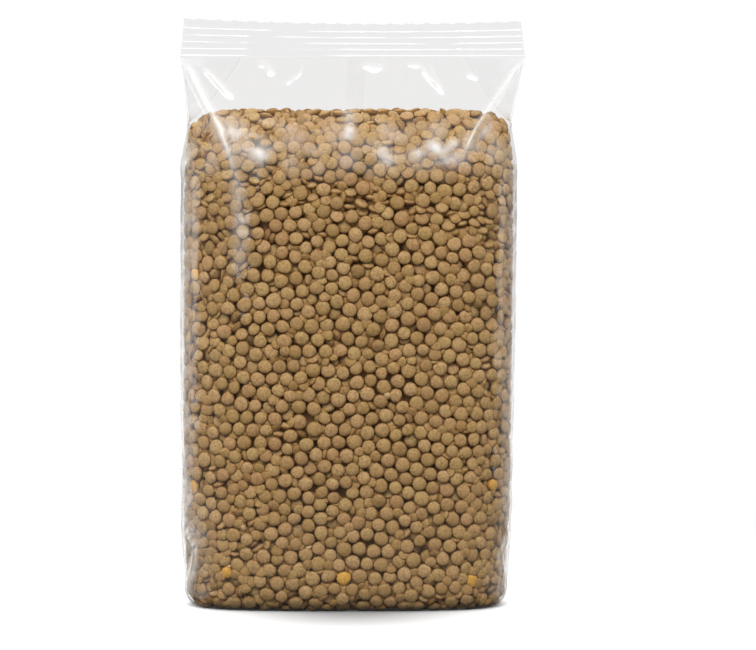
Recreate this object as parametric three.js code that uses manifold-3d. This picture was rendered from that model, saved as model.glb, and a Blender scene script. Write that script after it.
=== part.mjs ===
// A sealed clear film bag of lentils, standing on its flat base.
// Millimetres, +Z up. +X is to the right and +Y is away, seen from the front.
// The origin is on the floor, midway between the ends of the top seal.

import * as THREE from 'three';
import { mergeVertices } from 'three/addons/utils/BufferGeometryUtils.js';
import Module from 'manifold-3d';

// Driving dimensions of the whole bag
const bagHeight = 234;
const sealWidth = 137;
const sealHeight = 15;
const bodyShiftX = -1.5; // the filled body stands a little to the left of the seal

// The filled body: wide, flat faces with rounded corners
const bodyHalfWidth = 66.5;
const bodyHalfDepth = 26.7;
const sectionPowerX = 4;
const sectionPowerY = 2.5;
const lentilTop = 199.5;
const barrel = 0.35; // how much the faces draw in towards the top and the base

// The round shoulders below the lentils' top
const faceShoulderHeight = 34.5;
const faceShoulderPowerZ = 2.6;
const faceShoulderPowerY = 2.2;
const sideShoulderHeight = 49.5;
const sideShoulderPowerZ = 9;
const sideShoulderPowerX = 6;

// The round edge of the base
const baseFaceInset = 6.5;
const baseFaceRadius = 8;
const baseSideInset = 9;
const baseSideRadius = 20;

// One bump for each lentil that lies against the film
const lentilPitch = 6.75;
const rowPitch = lentilPitch * Math.sqrt(3) / 2;
const bumpRelief = 1.25;
const scatter = 0.13; // share of the pitch that a lentil may lie off its even place
const seed = 20;

// The empty film above the lentils, folded in at both sides
const filmBottom = 193.5;
const filmLeaves = 190; // height at which the film leaves the lentils
const filmHalfDepth = 20.5;
const ridgeHalfWidth = 50.5;
const ridgeEndInset = 1;
const edgeHalfWidth = 64.2;
const edgeHalfDepth = 15;
const edgeRoot = 183; // height at which the side edges start to draw together
const gussetRoot = 195;
const gussetDepth = 25;
const gussetPower = 0.8;
const clearance = 0.6;
const undersideRoot = 188; // the film's underside follows the lentils from this height
const undersideRings = 14;
const undersideSteps = 44;
const tentLevels = 11;

// The crimped seal
const sealHalfThickness = 0.55;
const ribPitch = 2.5;
const ribHeight = 0.4;
const ribCount = 5;
const plainBand = 2.5; // the smooth band above the ribs
const topEdgeDip = 1.8; // the top edge hangs lower in the middle

// Colours and finishes
const lentilColour = new THREE.Color().setStyle('rgb(150, 121, 81)');
const filmColour = new THREE.Color().setStyle('rgb(236, 238, 240)');

const sealBottom = bagHeight - sealHeight;
const wasm = await Module();
wasm.setup();

// A repeatable random number from 0 to 1
function seededRandom(start) {
  let state = start >>> 0;
  return () => {
    state = (state + 0x6d2b79f5) >>> 0;
    let mixed = Math.imul(state ^ (state >>> 15), state | 1);
    mixed ^= mixed + Math.imul(mixed ^ (mixed >>> 7), mixed | 61);
    return ((mixed ^ (mixed >>> 14)) >>> 0) / 4294967296;
  };
}

// Half the body's width at height z: straight sides, round base and shoulders
function halfWidthAt(z) {
  if (z < baseSideRadius) {
    const fall = 1 - z / baseSideRadius;
    return bodyHalfWidth - baseSideInset * (1 - Math.sqrt(1 - fall * fall));
  }
  const rise = (z - (lentilTop - sideShoulderHeight)) / sideShoulderHeight;
  if (rise <= 0) {
    return bodyHalfWidth;
  }
  const left = Math.max(0, 1 - rise ** sideShoulderPowerZ);
  return bodyHalfWidth * left ** (1 / sideShoulderPowerX);
}

// The body's front profile from the base's edge up and over to the top,
// as points { z, halfDepth, along }, with along the length of the curve so far
function frontProfile() {
  const points = [];
  const steps = 90;
  const baseHalfDepth = bodyHalfDepth - baseFaceInset;
  for (let i = 0; i <= steps; i += 1) {
    const turn = (Math.PI / 2) * (i / steps);
    points.push({
      z: baseFaceRadius * (1 - Math.cos(turn)),
      halfDepth: baseHalfDepth + baseFaceInset * Math.sin(turn),
    });
  }
  const shoulderZ = lentilTop - faceShoulderHeight;
  for (let i = 1; i <= steps; i += 1) {
    points.push({ z: baseFaceRadius + (shoulderZ - baseFaceRadius) * (i / steps), halfDepth: bodyHalfDepth });
  }
  for (let i = 1; i <= 3 * steps; i += 1) {
    const turn = (Math.PI / 2) * (i / (3 * steps));
    points.push({
      z: shoulderZ + faceShoulderHeight * Math.sin(turn) ** (2 / faceShoulderPowerZ),
      halfDepth: bodyHalfDepth * Math.max(0, Math.cos(turn)) ** (2 / faceShoulderPowerY),
    });
  }
  let along = 0;
  points.forEach((point, i) => {
    if (i > 0) {
      const before = points[i - 1];
      along += Math.hypot(point.z - before.z, point.halfDepth - before.halfDepth);
    }
    point.along = along;
  });
  return points;
}

// The profile's height and half depth at a length along it
function profileAt(profile, along) {
  const end = profile[profile.length - 1].along;
  const wanted = Math.min(Math.max(along, 0), end);
  let i = profile.findIndex((point) => point.along >= wanted);
  i = Math.max(i, 1);
  const a = profile[i - 1];
  const b = profile[i];
  const share = (wanted - a.along) / (b.along - a.along);
  return { z: a.z + (b.z - a.z) * share, halfDepth: a.halfDepth + (b.halfDepth - a.halfDepth) * share };
}

// One level section of the body, |x / a|^4 + |y / b|^2.5 = 1,
// as a closed line of points with its length, counted from +X towards +Y
function sectionLine(halfWidth, halfDepth) {
  const steps = 240;
  const points = [];
  let length = 0;
  for (let i = 0; i <= steps; i += 1) {
    const turn = 2 * Math.PI * (i / steps);
    const c = Math.cos(turn);
    const s = Math.sin(turn);
    const x = halfWidth * Math.sign(c) * Math.abs(c) ** (2 / sectionPowerX);
    const y = halfDepth * Math.sign(s) * Math.abs(s) ** (2 / sectionPowerY);
    if (i > 0) {
      const before = points[i - 1];
      length += Math.hypot(x - before.x, y - before.y);
    }
    points.push({ x, y, along: length });
  }
  return { points, length };
}

// The point of a section line at a share of its length
function sectionPoint(line, share) {
  const wanted = (share - Math.floor(share)) * line.length;
  const i = Math.max(1, line.points.findIndex((point) => point.along >= wanted));
  const a = line.points[i - 1];
  const b = line.points[i];
  const part = (wanted - a.along) / (b.along - a.along);
  return { x: a.x + (b.x - a.x) * part, y: a.y + (b.y - a.y) * part };
}

// How much the faces keep of their full size at height z
function barrelAt(z) {
  const middle = lentilTop / 2;
  return 1 - (barrel / bodyHalfDepth) * ((z - middle) / middle) ** 2;
}

// The body's section line at a length along the profile, widened by margin
function bodySection(profile, along, margin) {
  const { z, halfDepth } = profileAt(profile, along);
  const keep = barrelAt(z);
  const halfWidth = halfWidthAt(z) * keep + margin;
  return { z, line: sectionLine(halfWidth, halfDepth * keep + margin) };
}

// Triangles between two closed rings of different counts, walked round together
function stitchRings(lower, upper, triangles) {
  let i = 0;
  let j = 0;
  while (i < lower.ids.length || j < upper.ids.length) {
    const nextLower = i < lower.ids.length ? lower.shareOf(i + 1) : Infinity;
    const nextUpper = j < upper.ids.length ? upper.shareOf(j + 1) : Infinity;
    const a = lower.ids[i % lower.ids.length];
    const b = upper.ids[j % upper.ids.length];
    if (nextLower <= nextUpper) {
      triangles.push([a, lower.ids[(i + 1) % lower.ids.length], b]);
      i += 1;
    } else {
      triangles.push([a, upper.ids[(j + 1) % upper.ids.length], b]);
      j += 1;
    }
  }
}

// Triangles that close one flat or narrow ring by zigzags from side to side
function closeRing(ids, facesUp, triangles) {
  const half = Math.floor(ids.length / 2);
  const far = (i) => ids[(ids.length - i) % ids.length];
  const add = (a, b, c) => triangles.push(facesUp ? [a, b, c] : [a, c, b]);
  for (let i = 0; i < half; i += 1) {
    const a = ids[i];
    const b = ids[i + 1];
    const c = far(i);
    const d = far(i + 1);
    if (i > 0) {
      add(a, b, c);
    }
    if (d !== b) {
      add(b, d, c);
    }
  }
}

// One bump for each point: every triangle's middle is pushed in, and the edges between
// old neighbours are turned, so that each point becomes the top of a low pyramid
function raiseBumps(points, triangles, closing) {
  const vertices = points.map((point) => point.clone());
  const middles = triangles.map(([a, b, c]) => {
    const pa = points[a];
    const pb = points[b];
    const pc = points[c];
    const normal = pb.clone().sub(pa).cross(pc.clone().sub(pa)).normalize();
    const middle = pa.clone().add(pb).add(pc).divideScalar(3).addScaledVector(normal, -bumpRelief);
    vertices.push(middle);
    return vertices.length - 1;
  });
  const sides = new Map();
  triangles.forEach((triangle, t) => {
    for (let k = 0; k < 3; k += 1) {
      sides.set(`${triangle[k]},${triangle[(k + 1) % 3]}`, middles[t]);
    }
  });
  const faces = closing.map((triangle) => [...triangle]);
  for (const [key, own] of sides) {
    const [p, q] = key.split(',').map(Number);
    const other = sides.get(`${q},${p}`);
    if (other === undefined) {
      faces.push([p, q, own]);
    } else {
      faces.push([p, other, own]);
    }
  }
  return { vertices, faces };
}

// A closed mesh's geometry from its vertices and faces
function closedGeometry(vertices, faces) {
  const geometry = new THREE.BufferGeometry();
  const numbers = vertices.flatMap((v) => [v.x, v.y, v.z]);
  geometry.setAttribute('position', new THREE.Float32BufferAttribute(numbers, 3));
  geometry.setIndex(faces.flat());
  geometry.computeVertexNormals();
  return geometry;
}

// The lentils, out to the film that lies tight over them
function lentilGeometry() {
  const random = seededRandom(seed);
  const profile = frontProfile();
  const length = profile[profile.length - 1].along;
  const rows = Math.floor((length - lentilPitch / 2) / rowPitch);
  const points = [];
  const rings = [];
  for (let row = 0; row <= rows; row += 1) {
    const along = row * rowPitch;
    const count = Math.round(bodySection(profile, along, 0).line.length / lentilPitch);
    const first = (row % 2) / 2;
    const ids = [];
    for (let i = 0; i < count; i += 1) {
      const slide = row === 0 ? 0 : (random() - 0.5) * 2 * scatter;
      const climb = row === 0 ? 0 : (random() - 0.5) * 2 * scatter * rowPitch;
      const { z, line } = bodySection(profile, along + climb, 0);
      const { x, y } = sectionPoint(line, (i + first + slide) / count);
      ids.push(points.length);
      points.push(new THREE.Vector3(x + bodyShiftX, y, z));
    }
    rings.push({ ids, shareOf: (i) => (i + first) / count });
  }
  const sides = [];
  for (let row = 0; row < rows; row += 1) {
    stitchRings(rings[row], rings[row + 1], sides);
  }
  closeRing(rings[rows].ids, true, sides);
  const base = [];
  closeRing(rings[0].ids, false, base);
  const { vertices, faces } = raiseBumps(points, sides, base);
  return closedGeometry(vertices, faces);
}

// A smooth block a little larger than the lentils, which the film's underside clears
function clearanceGeometry() {
  const profile = frontProfile();
  const length = profile[profile.length - 1].along;
  const start = profile.find((point) => point.z > undersideRoot).along;
  const vertices = [];
  const faces = [];
  for (let ring = 0; ring < undersideRings; ring += 1) {
    const along = mix(start, length, ring / undersideRings);
    const { z, line } = bodySection(profile, along, clearance);
    for (let i = 0; i < undersideSteps; i += 1) {
      const { x, y } = sectionPoint(line, i / undersideSteps);
      vertices.push(new THREE.Vector3(x + bodyShiftX, y, z + clearance));
    }
  }
  loftFaces(undersideRings, undersideSteps, faces);
  return closedGeometry(vertices, faces);
}

// Faces of a stack of equal rings with both ends closed
function loftFaces(ringCount, count, faces) {
  for (let level = 0; level < ringCount - 1; level += 1) {
    for (let i = 0; i < count; i += 1) {
      const a = level * count + i;
      const b = level * count + ((i + 1) % count);
      faces.push([a, b, b + count], [a, b + count, a + count]);
    }
  }
  const lowest = Array.from({ length: count }, (_, i) => i);
  const highest = lowest.map((i) => i + (ringCount - 1) * count);
  closeRing(lowest, false, faces);
  closeRing(highest, true, faces);
}

function mix(from, to, share) {
  return from + (to - from) * Math.min(Math.max(share, 0), 1);
}

// The film's section at height z, as its front ridge, side edge and gusset crease:
// both faces lean in to the seal, and each side is folded in between them
function filmCorners(z) {
  const share = (z - filmLeaves) / (sealBottom - filmLeaves);
  const face = mix(filmHalfDepth, 0, share) + sealHalfThickness;
  const edgeX = mix(edgeHalfWidth, sealWidth / 2, share);
  const edgeY = mix(edgeHalfDepth, 0, (z - edgeRoot) / (sealBottom - edgeRoot)) + sealHalfThickness / 2;
  const fold = Math.min(Math.max((z - gussetRoot) / (sealBottom - gussetRoot), 0), 1);
  return {
    ridge: { x: mix(ridgeHalfWidth, sealWidth / 2 - ridgeEndInset, share), y: face },
    edge: { x: edgeX, y: edgeY },
    crease: { x: edgeX - gussetDepth * fold ** gussetPower, y: 0 },
    shift: mix(bodyShiftX, 0, share),
  };
}

// The seal's section: a flat bar, thicker by rib at the height of a rib
function sealCorners(rib) {
  const half = sealHalfThickness + rib;
  const edge = { x: sealWidth / 2, y: sealHalfThickness / 2 };
  return {
    ridge: { x: sealWidth / 2 - ridgeEndInset, y: half },
    edge,
    crease: { x: edge.x, y: 0 },
    shift: 0,
  };
}

// A closed ring through the corners, mirrored to the other three quarters
function filmRing(corners, z) {
  const faceSteps = 6;
  const quarter = [];
  quarter.push(corners.crease);
  quarter.push(corners.edge);
  for (let i = 0; i < faceSteps; i += 1) {
    quarter.push({ x: corners.ridge.x * (1 - i / faceSteps), y: corners.ridge.y });
  }
  const middle = { x: 0, y: corners.ridge.y };
  const flipX = (p) => ({ x: -p.x, y: p.y });
  const flipY = (p) => ({ x: p.x, y: -p.y });
  const back = [...quarter, middle, ...quarter.slice(1).reverse().map(flipX)];
  const front = [flipX(quarter[0]), ...quarter.slice(1).map(flipX).map(flipY)];
  front.push(flipY(middle), ...quarter.slice(1).reverse().map(flipY));
  const lift = Math.max(0, (z - sealBottom) / sealHeight);
  return [...back, ...front].map(({ x, y }) => {
    const dip = topEdgeDip * (1 - (2 * x / sealWidth) ** 2) * lift;
    return new THREE.Vector3(x + corners.shift, y, z - dip);
  });
}

// A Manifold solid from a three.js geometry
function toSolid(geometry) {
  const bare = geometry.clone();
  bare.deleteAttribute('normal');
  const merged = mergeVertices(bare, 1e-4);
  return new wasm.Manifold(new wasm.Mesh({
    numProp: 3,
    vertProperties: new Float32Array(merged.getAttribute('position').array),
    triVerts: new Uint32Array(merged.index.array),
  }));
}

// A three.js geometry from a Manifold solid
function fromSolid(solid) {
  const mesh = solid.getMesh();
  const geometry = new THREE.BufferGeometry();
  geometry.setAttribute('position', new THREE.BufferAttribute(new Float32Array(mesh.vertProperties), 3));
  geometry.setIndex(new THREE.BufferAttribute(new Uint32Array(mesh.triVerts), 1));
  geometry.computeVertexNormals();
  return geometry;
}

// The empty film above the lentils and the ribbed seal, as one closed solid
function filmGeometry() {
  const rings = [];
  for (let i = 0; i < tentLevels; i += 1) {
    const z = mix(filmBottom, sealBottom, i / tentLevels);
    rings.push(filmRing(filmCorners(z), z));
  }
  for (let rib = 0; rib < ribCount; rib += 1) {
    const z = sealBottom + rib * ribPitch;
    rings.push(filmRing(sealCorners(0), z));
    rings.push(filmRing(sealCorners(ribHeight), z + ribPitch / 2));
  }
  const bandBottom = bagHeight - plainBand;
  rings.push(filmRing(sealCorners(0), bandBottom));
  rings.push(filmRing(sealCorners(0), bagHeight));
  const faces = [];
  loftFaces(rings.length, rings[0].length, faces);
  const film = toSolid(closedGeometry(rings.flat(), faces));
  return fromSolid(film.subtract(toSolid(clearanceGeometry())));
}

const bag = new THREE.Group();

const lentils = new THREE.Mesh(
  lentilGeometry(),
  new THREE.MeshStandardMaterial({ color: lentilColour, roughness: 0.6, metalness: 0 }),
);
lentils.name = 'lentils';
bag.add(lentils);

const film = new THREE.Mesh(
  filmGeometry(),
  new THREE.MeshStandardMaterial({
    color: filmColour,
    roughness: 0.12,
    metalness: 0,
    transparent: true,
    opacity: 0.35,
  }),
);
film.name = 'film';
bag.add(film);

export default bag;
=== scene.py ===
# A sealed clear film bag of whole lentils, standing on its flat base.
# Shapes are worked out in millimetres in the part's own frame and put into Blender in metres.
import math
from types import SimpleNamespace
import bpy
import numpy as np
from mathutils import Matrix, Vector


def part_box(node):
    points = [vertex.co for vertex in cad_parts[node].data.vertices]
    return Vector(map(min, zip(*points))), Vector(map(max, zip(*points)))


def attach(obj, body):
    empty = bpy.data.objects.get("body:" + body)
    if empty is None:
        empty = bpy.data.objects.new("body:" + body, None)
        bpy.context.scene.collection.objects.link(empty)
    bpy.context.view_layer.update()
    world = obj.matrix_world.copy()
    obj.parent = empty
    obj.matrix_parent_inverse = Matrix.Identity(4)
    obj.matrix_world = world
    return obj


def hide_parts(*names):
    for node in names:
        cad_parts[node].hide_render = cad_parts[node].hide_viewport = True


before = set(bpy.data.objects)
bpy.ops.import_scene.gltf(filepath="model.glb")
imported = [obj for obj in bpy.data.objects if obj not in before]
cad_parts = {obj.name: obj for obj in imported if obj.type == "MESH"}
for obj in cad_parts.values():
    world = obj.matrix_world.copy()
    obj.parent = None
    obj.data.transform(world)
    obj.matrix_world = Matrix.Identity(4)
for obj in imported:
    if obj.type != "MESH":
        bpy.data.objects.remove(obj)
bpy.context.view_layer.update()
mm = 0.001  # metres in a millimetre
lentilLow, lentilHigh = (np.array(corner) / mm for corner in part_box("lentils"))
filmLow, filmHigh = (np.array(corner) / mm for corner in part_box("film"))


# Small helpers

def smoothStep(value, low, high):
    # 3t^2 - 2t^3 for t from 0 at low to 1 at high
    t = np.clip((value - low) / (high - low), 0, 1)
    return t * t * (3 - 2 * t)


def unit(vectors):
    # each row divided by its length
    return vectors / np.maximum(np.linalg.norm(vectors, axis=-1, keepdims=True), 1e-9)


def makePiece(name, points, faceSets, material, fields=None):
    # a mesh from points in millimetres and arrays of faces, each array with its own corner count
    loops = np.concatenate([f.ravel() for f in faceSets]).astype(np.int32)
    sizes = np.concatenate([np.full(len(f), f.shape[1]) for f in faceSets])
    starts = np.concatenate([[0], np.cumsum(sizes)[:-1]]).astype(np.int32)
    mesh = bpy.data.meshes.new(name)
    mesh.vertices.add(len(points))
    mesh.loops.add(len(loops))
    mesh.polygons.add(len(sizes))
    mesh.vertices.foreach_set("co", (points * mm).astype(np.float32).ravel())
    mesh.loops.foreach_set("vertex_index", loops)
    mesh.polygons.foreach_set("loop_start", starts)
    mesh.polygons.foreach_set("use_smooth", np.ones(len(sizes), bool))
    for field, values in (fields or {}).items():
        layer = mesh.attributes.new(field, "FLOAT", "POINT")
        layer.data.foreach_set("value", values.astype(np.float32).ravel())
    mesh.update(calc_edges=True)
    mesh.materials.append(material)
    piece = bpy.data.objects.new(name, mesh)
    bpy.context.scene.collection.objects.link(piece)
    return piece


def gridFaces(rows, columns):
    # quads of a grid of points whose columns close into a ring, facing outwards when
    # the columns run anticlockwise seen from above and the rows climb
    r = np.arange(rows - 1)[:, None]
    c = np.arange(columns)[None, :]
    a = r * columns + c
    b = r * columns + (c + 1) % columns
    return np.stack([a, b, b + columns, a + columns], axis=-1).reshape(-1, 4)


def closedBar(front, back):
    # points and quads of a flat bar from the grids of its front and back: rings of the front and the
    # back turned round, with a row of quads over the lowest ring and one over the highest
    ring = np.concatenate([front, back[:, ::-1]], axis=1)
    rows, columns = ring.shape[:2]
    low = np.arange(columns // 2 - 1)
    lowCap = np.stack([low, columns - 1 - low, columns - 2 - low, low + 1], axis=1)
    topCap = lowCap[:, ::-1] + (rows - 1) * columns
    return ring.reshape(-1, 3), np.concatenate([gridFaces(rows, columns), lowCap, topCap])


# The filled body's outline, shared by the lentils and the film

body = {
    "top": lentilHigh[2] - 0.3,       # highest lentil
    "halfWidth": 65.9,                # of the lentils, at mid height
    "halfWidthLow": 64.2,             # of the lentils, near the base
    "halfDepth": lentilHigh[1] - 0.7,
    "belly": 0.9,                     # the faces swell this much in the middle
    "sideShoulder": 49.5, "sideShoulderPower": 18, "taper": 1.5,
    "faceShoulder": 34.5, "faceShoulderPower": 2.6,
    "baseRadius": 10.0, "baseInset": 7.5,  # round edge of the base, at the front and the back
    "sideRadius": 8.0, "sideInset": 5.5,   # and at the sides
    "sectionX": 4.0, "sectionY": 2.5,      # powers of the level section
    "leanLow": -2.9, "leanHigh": -1.3,     # middle of the body at the base and at the shoulder
    "sealBottom": filmHigh[2] - 15.0,
    "innerX": (-40, 36), "innerZ": (30, 168), "reach": 90.0,  # where rays onto the surface start and end
}


def bodyMiddle(z):
    # the body leans a little: its middle in x, straight from the base to the shoulder and from there
    # to the seal
    low = body["leanLow"] + (body["leanHigh"] - body["leanLow"]) * np.clip(z / 190, 0, 1)
    return low * (1 - smoothStep(z, 188, body["sealBottom"]))


def roundBase(z, radius, inset):
    # how far a face draws in below radius: inset * (1 - sqrt(1 - (1 - z / radius)^2))
    t = np.clip(1 - z / radius, 0, 1)
    return inset * (1 - np.sqrt(1 - t * t))


def lentilHalfWidth(z):
    # straight, narrower near the base and the top, with squarish round shoulders (1 - t^18)^(1/6)
    t = np.clip((z - (body["top"] - body["sideShoulder"])) / body["sideShoulder"], 0, 1)
    keep = (1 - t ** body["sideShoulderPower"]) ** (1 / 6)
    wide = body["halfWidthLow"] + (body["halfWidth"] - body["halfWidthLow"]) * smoothStep(z, 6, 44)
    wide = wide - body["taper"] * smoothStep(z, 172, 192)
    return wide * keep - roundBase(z, body["sideRadius"], body["sideInset"])


def lentilHalfDepth(z):
    # round over the top, (1 - t^2.6)^(1/2.2), a slight belly, and a round edge at the base
    t = np.clip((z - (body["top"] - body["faceShoulder"])) / body["faceShoulder"], 0, 1)
    keep = (1 - t ** body["faceShoulderPower"]) ** (1 / 2.2)
    full = body["halfDepth"] - body["belly"] * (1 - np.sin(np.pi * np.clip(z / 170, 0, 1)))
    return full * keep - roundBase(z, body["baseRadius"], body["baseInset"])


def blockLevel(points):
    # |x / a(z)|^4 + |y / b(z)|^2.5, which is 1 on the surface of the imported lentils
    z = np.clip(points[:, 2], 0.0, body["top"] - 0.01)
    a = np.maximum(lentilHalfWidth(z), 1.0)
    b = np.maximum(lentilHalfDepth(z), 0.3)
    outside = np.abs(points[:, 2] - z)
    x = points[:, 0] - bodyMiddle(z)
    return np.abs(x / a) ** body["sectionX"] + np.abs(points[:, 1] / b) ** body["sectionY"] + 10 * outside


def ontoBlock(points):
    # each point slides along the ray from the nearest point of an inner rectangle to the surface
    inner = np.stack([np.clip(points[:, 0], *body["innerX"]), np.zeros(len(points)),
                      np.clip(points[:, 2], *body["innerZ"])], axis=1)
    ray = unit(points - inner)
    near, far = np.zeros(len(points)), np.full(len(points), body["reach"])
    for _ in range(24):
        half = (near + far) / 2
        inside = blockLevel(inner + ray * half[:, None]) < 1
        near, far = np.where(inside, half, near), np.where(inside, far, half)
    return inner + ray * near[:, None]


def blockNormal(points):
    # gradient of the level by small steps each way
    step = 0.05
    slopes = []
    for axis in range(3):
        move = np.zeros(3)
        move[axis] = step
        slopes.append(blockLevel(points + move) - blockLevel(points - move))
    return unit(np.stack(slopes, axis=1))


# Lentils

lentil = {
    "radius": 2.95, "radiusSpread": 0.065,       # from the middle to the rim, and its spread as a share
    "thickness": 0.40, "thicknessSpread": 0.07,  # half thickness as a share of the radius
    "ringRadii": (0.5, 0.86), "segments": 12,
    "profilePower": (2.9, 0.58),
    "oval": 0.035, "wobble": 0.025,              # how far from round, as shares of the radius
    "pairReach": 7.0,                            # centres further apart than this can't touch
    "seed": 7,
}


def lensShape():
    # a lens of rings: at radius rho its face is at (1 - rho^2.9)^0.58 of the half thickness
    segments = lentil["segments"]
    radii = np.array([*lentil["ringRadii"], 1.0, *lentil["ringRadii"][::-1]])
    sides = np.array([1.0] * len(lentil["ringRadii"]) + [0.0] + [-1.0] * len(lentil["ringRadii"]))
    p, q = lentil["profilePower"]
    turn = 2 * np.pi * np.arange(segments) / segments
    rho = np.concatenate([[0], np.repeat(radii, segments), [0]])
    phi = np.concatenate([[0], np.tile(turn, len(radii)), [0]])
    side = np.concatenate([[1], np.repeat(sides, segments), [-1]])
    height = side * (1 - rho ** p) ** q
    ring = np.arange(segments)
    after = (ring + 1) % segments
    last = 1 + len(radii) * segments
    topFan = np.stack([np.zeros_like(ring), 1 + ring, 1 + after], axis=1)
    baseRow = 1 + (len(radii) - 1) * segments
    lowFan = np.stack([np.full_like(ring, last), baseRow + after, baseRow + ring], axis=1)
    quads = []
    for row in range(len(radii) - 1):
        a = 1 + row * segments + ring
        b = 1 + row * segments + after
        quads.append(np.stack([a, a + segments, b + segments, b], axis=1))
    return rho, phi, height, np.concatenate([topFan, lowFan]), np.concatenate(quads)


starts = {
    "low": np.array([-66.0, -27.0, 0.0]), "high": np.array([64.0, 27.0, 200.0]),  # a box round the block
    "shares": [0.245, 0.615, 0.14],        # of its side, front and level faces
    "rowLow": 3.0, "rowHigh": 194.0, "rowWide": 65, "rowDeep": 26,
    "flatSize": (56, 18),                  # half size of the level faces
}


def startPoints(count, rng):
    # random points on the block, shared out by the areas of its three pairs of faces
    low, high = starts["low"], starts["high"]
    p = low + (high - low) * rng.random((count, 3))
    face = rng.choice(3, size=count, p=starts["shares"])
    p[np.arange(count), face] = np.where(rng.random(count) < 0.5, low[face], high[face])
    return ontoBlock(p)


def rowPoints(gap, climb, jitter, rng):
    # rows of points round the block, climb apart and each shifted by half a gap from the one below,
    # as lentils settle against a flat film, then the top and the base at random. The rows wave up
    # and down by two sines of x
    turn = np.linspace(0, 2 * np.pi, 3000)
    cos, sin = np.cos(turn), np.sin(turn)
    rows = []
    for k, z in enumerate(np.arange(starts["rowLow"], starts["rowHigh"], climb)):
        x = np.sign(cos) * np.abs(cos) ** (2 / body["sectionX"]) * starts["rowWide"]
        y = np.sign(sin) * np.abs(sin) ** (2 / body["sectionY"]) * starts["rowDeep"]
        along = np.concatenate([[0], np.cumsum(np.hypot(np.diff(x), np.diff(y)))])
        count = int(along[-1] / gap)
        at = (np.arange(count) + 0.5 * (k % 2)) * along[-1] / count
        rows.append(np.stack([np.interp(at, along, x), np.interp(at, along, y), np.full(count, z)], axis=1))
    wide, deep = starts["flatSize"]
    for z in (starts["low"][2], starts["high"][2]):
        flat = rng.uniform(-1, 1, (int(wide * deep * 4 / (gap * climb)), 2)) * (wide, deep)
        rows.append(np.column_stack([flat, np.full(len(flat), z)]))
    p = np.concatenate(rows)
    p[:, 2] += 3.5 * np.sin(p[:, 0] * 0.075 + 0.6) + 2.0 * np.sin(p[:, 0] * 0.16 + p[:, 2] * 0.05)
    return ontoBlock(p + rng.normal(0, jitter, p.shape) + [bodyMiddle(100.0), 0, 0])


def lieNormals(points, normals):
    # near the top the lentils stand up more, facing the front or the back: the climb of the normal
    # is scaled down by 1 - 0.7 u, and 0.35 u is added across, where u grows from 0 to 1 with height
    u = smoothStep(points[:, 2], 172, 194)
    side = np.where(points[:, 1] < 0, -1.0, 1.0)
    leaning = normals * np.column_stack([np.ones_like(u), np.ones_like(u), 1 - 0.7 * u])
    leaning[:, 1] += 0.35 * u * side
    return unit(leaning)


def lentilFrames(normals, tilt, heading):
    # each lentil's axis, tilted from the normal by tilt towards heading (0 is up the surface),
    # with two directions square to it
    up = np.array([0.0, 0.0, 1.0])
    side = unit(np.cross(up, normals) + np.array([1e-4, 0, 0]))
    climb = np.cross(normals, side)
    lean = climb * np.cos(heading)[:, None] + side * np.sin(heading)[:, None]
    axis = normals * np.cos(tilt)[:, None] + lean * np.sin(tilt)[:, None]
    first = unit(np.cross(axis, side + 0.01 * climb))
    return axis, first, np.cross(axis, first)


def reachAlong(axis, radii, halves, direction):
    # how far a lentil reaches from its centre: sqrt(R^2 (1 - c^2) + h^2 c^2), where c is the
    # cosine between its axis and the direction
    c2 = (axis * direction).sum(-1) ** 2
    return np.sqrt(radii ** 2 * (1 - c2) + halves ** 2 * c2)


def closePairs(a, b, reach):
    # rows of a and b closer than reach, from the table of all squared distances
    squared = (a ** 2).sum(1)[:, None] + (b ** 2).sum(1)[None] - 2 * a @ b.T
    return squared < reach * reach


def overlaps(centresA, layerA, axisA, i, centresB, layerB, axisB, j, spacing):
    # for pairs of rows i and j: the way from j to i, and by how much their reaches overlap along it
    gap = centresA[i] - centresB[j]
    far = np.maximum(np.linalg.norm(gap, axis=1), 1e-3)
    way = gap / far[:, None]
    reach = (reachAlong(axisA[i], layerA["radii"][i], layerA["halves"][i], way)
             + reachAlong(axisB[j], layerB["radii"][j], layerB["halves"][j], way))
    return way * np.clip(reach * spacing - far, 0, 2)[:, None]


def sumRows(rows, moves, count):
    # adds up the moves of each row
    return np.stack([np.bincount(rows, moves[:, k], count) for k in range(3)], axis=1).astype(float)


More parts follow.
